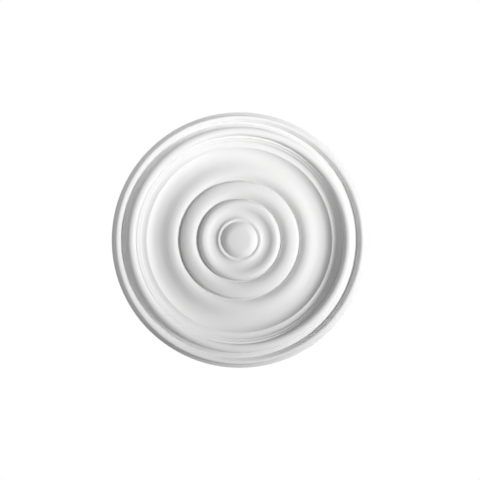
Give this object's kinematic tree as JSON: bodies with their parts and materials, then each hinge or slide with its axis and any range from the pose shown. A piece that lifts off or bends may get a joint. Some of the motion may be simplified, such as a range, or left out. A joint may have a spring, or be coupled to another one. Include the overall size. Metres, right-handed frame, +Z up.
{
  "type": "ceiling rose",
  "caption": "Round white ceiling rose with plain concentric run mouldings, a flat centre button and a stepped outer rim.",
  "frame": {"origin": "centre of the flat back, in the ceiling plane that the rose is fixed against", "axes": "+Z up out of the back into the ceiling, along the rose's axis of symmetry; the moulded face looks down -Z; X and Y lie in the ceiling plane"},
  "size_m": [0.4, 0.4, 0.0291],
  "materials": {
    "primed_foam": "matt factory primer on rigid cast foam"
  },
  "bodies": {
    "root": {"ceiling_rose": "primed_foam"}
  },
  "joints": []
}
